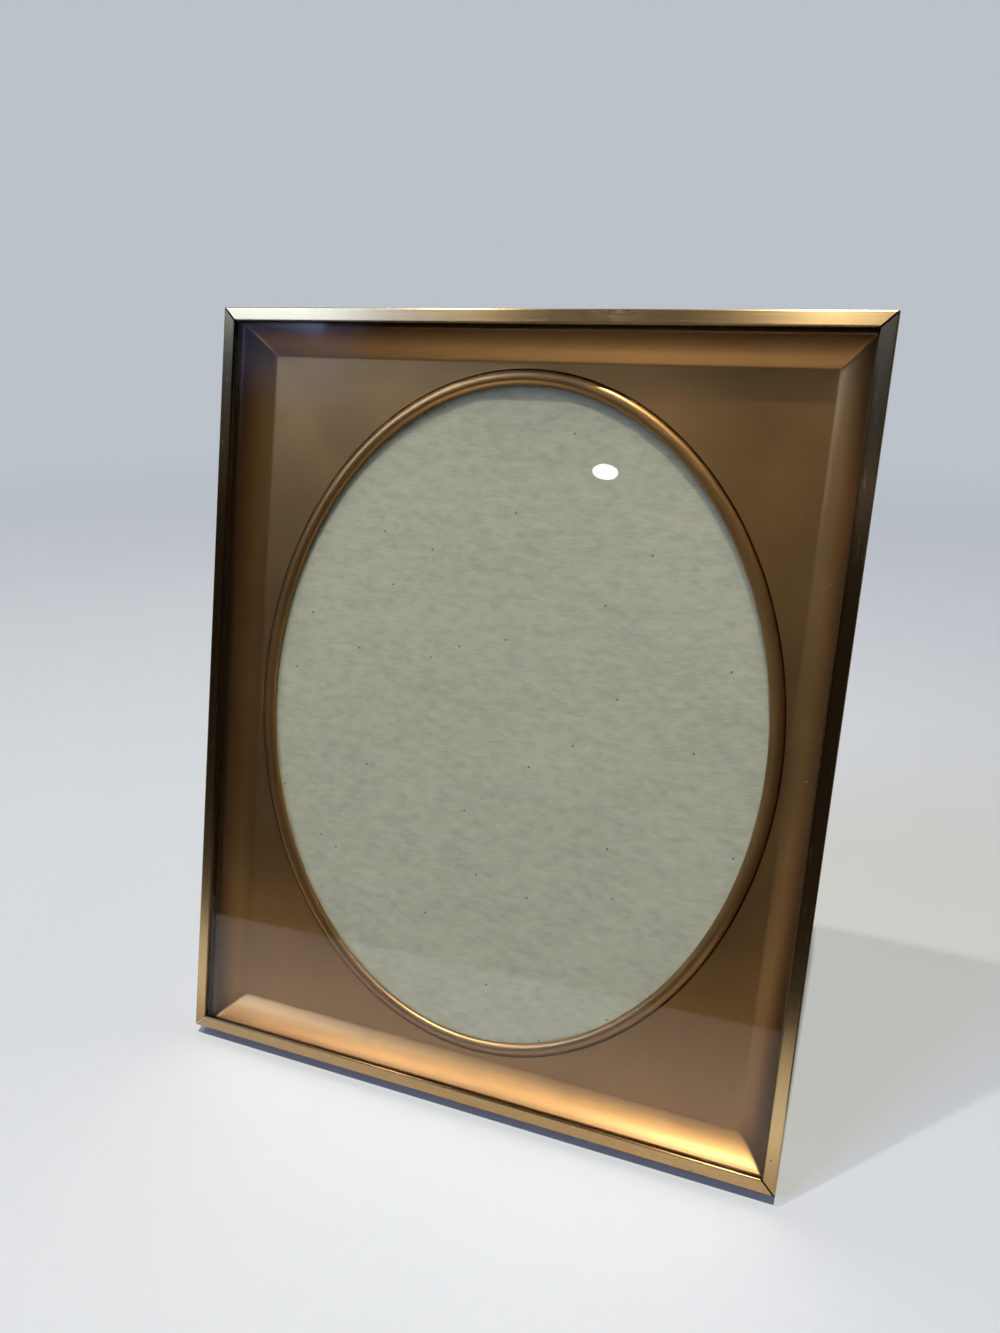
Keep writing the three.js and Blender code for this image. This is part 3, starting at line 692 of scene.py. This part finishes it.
def add_rivet(node, material, axes):
    """A rivet with a flange at the front and a domed head at the back."""
    low, high = box_along(node, axes)
    head = low.z + HEAD_RISE
    rows = [
        circle(RIVET_FLANGE_RADIUS, high.z),
        circle(RIVET_FLANGE_RADIUS, high.z - RIVET_FLANGE_THICKNESS),
        circle(SHANK_RADIUS, high.z - RIVET_FLANGE_THICKNESS),
        circle(SHANK_RADIUS, head),
    ]
    for i in range(HEAD_STEPS):
        angle = math.pi / 2 * i / HEAD_STEPS
        rows.append(circle(HEAD_RADIUS * math.cos(angle), head - HEAD_RISE * math.sin(angle)))
    faces = band(rows)
    last = (len(rows) - 1) * ROUND_SIDES
    faces.append(tuple(range(ROUND_SIDES)))
    faces.append(tuple(range(last, last + ROUND_SIDES)))
    centre = Vector(((low.x + high.x) / 2, (low.y + high.y) / 2, 0))
    points = [axes @ (centre + Vector(point)) for row in rows for point in row]
    show(mesh_of(node + "_fine", points, faces), material, node)


def add_button(place, material):
    """A flat strip with round ends and softened edges, with an eye for its rivet."""
    node = "turn_button_" + place
    low, high = box_along(node, FRAME_AXES)
    rivet_low, rivet_high = box_along("turn_rivet_" + place, FRAME_AXES)
    pivot = (rivet_low + rivet_high) / 2
    lying = high.x - low.x > high.y - low.y
    long = 0 if lying else 1
    radius = (high[1 - long] - low[1 - long]) / 2
    ends = (low[long] + radius - pivot[long], high[long] - radius - pivot[long])

    def outline(shrink, z):
        points = []
        for i in range(ROUND_SIDES):
            angle = 2 * math.pi * (i + 0.5) / ROUND_SIDES
            along = (radius - shrink) * math.cos(angle)
            along += ends[1] if along > 0 else ends[0]
            aside = (radius - shrink) * math.sin(angle)
            points.append((along, aside, z) if lying else (-aside, along, z))
        return points

    def eye(z):
        turn = math.pi / ROUND_SIDES if lying else math.pi / ROUND_SIDES + math.pi / 2
        size = SHANK_RADIUS + EYE_CLEARANCE
        angles = [2 * math.pi * i / ROUND_SIDES + turn for i in range(ROUND_SIDES)]
        return [(size * math.cos(angle), size * math.sin(angle), z) for angle in angles]

    rows = [
        eye(high.z),
        outline(PLATE_EDGE, high.z),
        outline(0, high.z - PLATE_EDGE),
        outline(0, low.z + PLATE_EDGE),
        outline(PLATE_EDGE, low.z),
        eye(low.z),
    ]
    centre = Vector((pivot.x, pivot.y, 0))
    points = [FRAME_AXES @ (centre + Vector(point)) for row in rows for point in row]
    mesh = mesh_of(node + "_fine", points, band(rows, closed=True))
    keep_faces_flat(show(mesh, material, node))


def add_ring(material):
    """A ring of bent wire that hangs plumb, with the split where its ends meet."""
    low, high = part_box("hanger_ring")
    centre = (Vector(low) + Vector(high)) / 2
    radius = (high[0] - low[0]) / 2 - RING_WIRE
    rows = []
    for i in range(RING_STEPS + 1):
        turn = RING_SPLIT_AT + RING_SPLIT / 2 + (2 * math.pi - RING_SPLIT) * i / RING_STEPS
        outward = Vector((math.cos(turn), 0, math.sin(turn)))
        row = []
        for x, y, z in circle(RING_WIRE, 0, WIRE_SIDES):
            row.append(centre + outward * (radius + x) + Vector((0, y, 0)))
        rows.append(row)
    faces = band(rows)
    last = RING_STEPS * WIRE_SIDES
    faces.append(tuple(range(WIRE_SIDES)))
    faces.append(tuple(range(last, last + WIRE_SIDES)))
    points = [point for row in rows for point in row]
    show(mesh_of("hanger_ring_fine", points, faces), material, "hanger_ring")


# Camera, light and stage
def add_camera():
    """The camera that took the photograph, without depth of field."""
    data = bpy.data.cameras.new("camera")
    data.sensor_width = SENSOR
    data.lens = FOCAL_PIXELS / IMAGE_LONG_SIDE * SENSOR
    data.clip_start = CLIP_START
    camera = bpy.data.objects.new("camera", data)
    scene.collection.objects.link(camera)
    aim = CAMERA_AIM.to_track_quat("-Z", "Y").to_matrix()
    turn = aim @ Matrix.Rotation(CAMERA_ROLL, 3, "Z")
    camera.matrix_world = Matrix.Translation(CAMERA_PLACE) @ turn.to_4x4()
    scene.camera = camera


def toward(azimuth, elevation):
    """The direction to a place in the room, from its angles in degrees."""
    turn = math.radians(azimuth)
    level = math.cos(math.radians(elevation))
    return Vector((math.sin(turn) * level, -math.cos(turn) * level, math.sin(math.radians(elevation))))


def add_lamp(name, shape, place, direction):
    """A flat lamp that shines back along the direction to it."""
    data = bpy.data.lights.new(name, "AREA")
    data.shape = shape
    lamp = bpy.data.objects.new(name, data)
    scene.collection.objects.link(lamp)
    lamp.matrix_world = Matrix.Translation(place) @ direction.to_track_quat("Z", "Y").to_matrix().to_4x4()
    lamp.visible_camera = False
    return data


def add_lights():
    """Two small lamps overhead, and a weak one that the glass mirrors as a spot."""
    low, high = box_along("glass_pane", FRAME_AXES)
    middle = (low + high) / 2
    for name, lamp in (("key", KEY), ("fill", FILL)):
        direction = toward(lamp["azimuth"], lamp["elevation"])
        data = add_lamp(name, "DISK", FRAME_AXES @ middle + direction * CEILING_DISTANCE, direction)
        data.size = lamp["size"]
        data.color = CEILING_COLOUR
        data.energy = lamp["irradiance"] * math.pi * CEILING_DISTANCE**2
    direction = toward(LAMP_AZIMUTH, LAMP_ELEVATION)
    mirrored_at = FRAME_AXES @ (middle + Vector(LAMP_MIRRORED_AT))
    spot = add_lamp("spot", "ELLIPSE", mirrored_at + direction * LAMP_DISTANCE, direction)
    spot.size, spot.size_y = LAMP_SIZE
    spot.energy = LAMP_RADIANCE * math.pi * math.pi / 4 * spot.size * spot.size_y


def window(look, azimuth, elevation):
    """1 inside the window, 0 outside it."""
    left = look.fit(azimuth, WINDOW_LEFT - WINDOW_SOFT, WINDOW_LEFT, curve="SMOOTHSTEP")
    right = look.fit(azimuth, WINDOW_RIGHT + WINDOW_SOFT, WINDOW_RIGHT, curve="SMOOTHSTEP")
    low = look.fit(elevation, WINDOW_LOW, WINDOW_LOW + WINDOW_LOW_SOFT, curve="SMOOTHSTEP")
    high = look.fit(elevation, WINDOW_HIGH + WINDOW_HIGH_SOFT, WINDOW_HIGH, curve="SMOOTHSTEP")
    return look.times(look.times(left, right), look.times(low, high))


def sill(look, azimuth, elevation):
    """1 on the dim wall round the window, 0 outside it."""
    left = look.fit(azimuth, SILL_LEFT - SILL_SOFT, SILL_LEFT)
    right = look.fit(azimuth, SILL_RIGHT, SILL_RIGHT - SILL_SOFT)
    low = look.fit(elevation, SILL_LOW, SILL_LOW + SILL_SOFT)
    high = look.fit(elevation, SILL_HIGH + SILL_SOFT, SILL_HIGH)
    return look.times(look.times(left, right), look.times(low, high))


def card(look, azimuth, elevation):
    """1 on the pale card that stands in front, below the horizon, 0 outside it."""
    left = look.fit(azimuth, CARD_LEFT, CARD_LEFT + CARD_SIDE_SOFT, curve="SMOOTHSTEP")
    right = look.fit(azimuth, CARD_RIGHT, CARD_RIGHT - CARD_SIDE_SOFT, curve="SMOOTHSTEP")
    top = look.fit(elevation, CARD_TOP, CARD_TOP - CARD_TOP_SOFT, curve="SMOOTHSTEP")
    return look.times(look.times(left, right), top)


def add_world():
    """A dim room with a blue window in front, and a plain pale backdrop."""
    look = Look(bpy.data.worlds.new("studio"))
    scene.world = look.owner
    direction = look.node("SeparateXYZ", {0: look.node("TexCoord").outputs["Generated"]}).outputs
    elevation = look.math("ARCSINE", direction["Z"])
    azimuth = look.math("ARCTAN2", direction["X"], look.times(direction["Y"], -1.0))
    room = look.ramp(
        look.fit(elevation, -math.pi / 2, math.pi / 2),
        (CEILING_FROM, ROOM_COLOUR),
        (1.0, CEILING_GLOW),
    )
    light = look.mix(sill(look, azimuth, elevation), room, SILL_COLOUR)
    light = look.mix(window(look, azimuth, elevation), light, WINDOW_COLOUR)
    light = look.mix(card(look, azimuth, elevation), light, CARD_COLOUR)
    path = look.node("LightPath").outputs
    mirrored = look.math("MAXIMUM", path["Is Glossy Ray"], path["Is Transmission Ray"])
    behind = look.fit(direction["Y"], WALL_FROM, WALL_TO)
    light = look.mix(behind, light, WALL_COLOUR)
    seen = look.math("MAXIMUM", path["Is Camera Ray"], look.times(mirrored, behind))
    light = look.mix(seen, light, BACKDROP_COLOUR)
    look.finish(look.node("Background", {"Color": light}).outputs[0], "OutputWorld")


def floor_look():
    """A pale table top that fades into the backdrop, with painted shade where metal and glass mirror it: a
    painted shadow near the frame, darker towards the front, and darker seen through the glass.
    """
    look = new_look("pale_floor")
    spot = look.node("TexCoord").outputs["Object"]
    cloudy = look.ramp(look.noise(0.004, detail=3), (0.3, FLOOR_SHADE), (0.7, FLOOR_COLOUR))
    ahead = look.node("SeparateXYZ", {0: spot}).outputs["Y"]
    # painted shadow near the frame and painted shade towards the front, for rays that aren't the camera's
    mirrored = look.mix(look.fit(ahead, FLOOR_NEAR, FLOOR_CLEAR), FLOOR_NEAR_PAINTED_SHADOW, cloudy)
    mirrored = look.mix(look.fit(ahead, FLOOR_DIM_FROM, FLOOR_DIM_TO), mirrored, FLOOR_FRONT_PAINTED_SHADE)
    path = look.node("LightPath").outputs
    colour = look.mix(path["Is Camera Ray"], mirrored, cloudy)
    # painted shade on the table as seen through the glass
    in_liner = look.math("GREATER_THAN", path["Is Transmission Ray"], path["Diffuse Depth"])
    colour = look.mix(in_liner, colour, FLOOR_PAINTED_SHADE_IN_LINER)
    table = look.principled({"Base Color": colour, "Roughness": 0.7, "Specular IOR Level": 0.2})
    away = look.node("VectorMath", {0: spot}, operation="LENGTH").outputs["Value"]
    backdrop = look.node("Emission", {"Color": (*BACKDROP_COLOUR, 1)}).outputs[0]
    faded = look.fit(away, FLOOR_FADE_FROM, FLOOR_FADE_TO, curve="SMOOTHSTEP")
    return look.finish(look.node("MixShader", {0: faded, 1: table, 2: backdrop}).outputs[0])


def add_stage(name, corners, material):
    """A flat piece on the ground that isn't part of the object."""
    mesh = bpy.data.meshes.new(name)
    mesh.from_pydata([(x, y, 0) for x, y in corners], [], [tuple(range(len(corners)))])
    mesh.materials.append(material)
    piece = bpy.data.objects.new(name, mesh)
    scene.collection.objects.link(piece)
    return piece


def add_floor():
    """The table top, and the floor in front of it and to its right, which no metal or glass mirrors."""
    material = floor_look()
    edge = [
        (-FLOOR_HALF_WIDTH, FLOOR_FRONT_LEFT),
        (FLOOR_CORNER, FLOOR_FRONT_LEFT),
        (FLOOR_SIDE, FLOOR_FRONT_RIGHT),
        (FLOOR_SIDE, FLOOR_BACK),
    ]
    add_stage("floor", [*edge, (-FLOOR_HALF_WIDTH, FLOOR_BACK)], material)
    outer = [
        (FLOOR_HALF_WIDTH, FLOOR_BACK),
        (FLOOR_HALF_WIDTH, -FLOOR_BACK),
        (-FLOOR_HALF_WIDTH, -FLOOR_BACK),
    ]
    around = add_stage("floor_around", edge + outer, material)
    around.visible_glossy = False
    around.visible_transmission = False


# The frame, dressed
def dress_rails(right, up):
    """The four rails, brushed along their length, with less brushed lips."""
    level = brushed_brass("brass_level", right, LEVEL_MARKS, RAIL_BRUSHED)
    level_lips = brushed_brass("brass_level_lips", right, LEVEL_MARKS, LIP_BRUSHED)
    upright = brushed_brass("brass_upright", up, UPRIGHT_MARKS, RAIL_BRUSHED)
    upright_lips = brushed_brass("brass_upright_lips", up, UPRIGHT_MARKS, LIP_BRUSHED)
    for side in ("top", "bottom"):
        refine("rail_" + side, level, RAIL_EDGE, right, level_lips)
    for side in ("left", "right"):
        refine("rail_" + side, upright, RAIL_EDGE, up, upright_lips)


def dress_liner(right, up):
    """The liner, whose coves are brushed along their length."""
    flat = satin_brass("satin_brass", MAT_ROUGHNESS)
    level = satin_brass("satin_brass_level", COVE_ROUGHNESS, right)
    upright = satin_brass("satin_brass_upright", COVE_ROUGHNESS, up)
    foot_shaded = satin_brass("satin_brass_foot_shade", MAT_ROUGHNESS, painted_shade=FOOT_PAINTED_SHADE)
    add_liner(flat, level, upright, foot_shaded)


def dress_boards():
    """The back panel and the leg, of one board."""
    board = hardboard()
    refine("back_panel", board, BOARD_EDGE)
    refine("easel_leg", board, BOARD_EDGE)


def dress_fittings(brass):
    """The small pieces on the back."""
    for place in ("left_upper", "left_lower", "right_upper", "right_lower", "top", "bottom"):
        add_button(place, brass)
        add_rivet("turn_rivet_" + place, brass, FRAME_AXES)
    for side in ("left", "right"):
        add_rivet("panel_leaf_rivet_" + side, brass, FRAME_AXES)
        add_rivet("leg_leaf_rivet_" + side, brass, LEG_AXES)
    add_rivet("hanger_rivet", brass, FRAME_AXES)
    add_ring(brass)
    for node in ("panel_hinge_leaf", "leg_hinge_leaf", "hanger_strap"):
        refine(node, brass, PLATE_EDGE)
    refine("hinge_pin", drawn_steel(), PLATE_EDGE)


def dress_solids(brass):
    """Materials for the pieces whose solids are kept as they are."""
    finishes = {"glass_pane": picture_glass(), "picture_insert": mottled_paper(), "filler_card": grey_card()}
    for corner in ("bottom_left", "bottom_right", "top_left", "top_right"):
        finishes["corner_angle_" + corner] = brass
    for node, material in finishes.items():
        for slot in nodes[node].material_slots:
            slot.material = material


add_camera()
add_world()
add_lights()
add_floor()

rightward, upward = FRAME_AXES.transposed()[:2]
fittings_brass = dull_brass()
dress_rails(rightward, upward)
dress_liner(rightward, upward)
dress_boards()
dress_fittings(fittings_brass)
dress_solids(fittings_brass)

scene.view_settings.view_transform = "Standard"
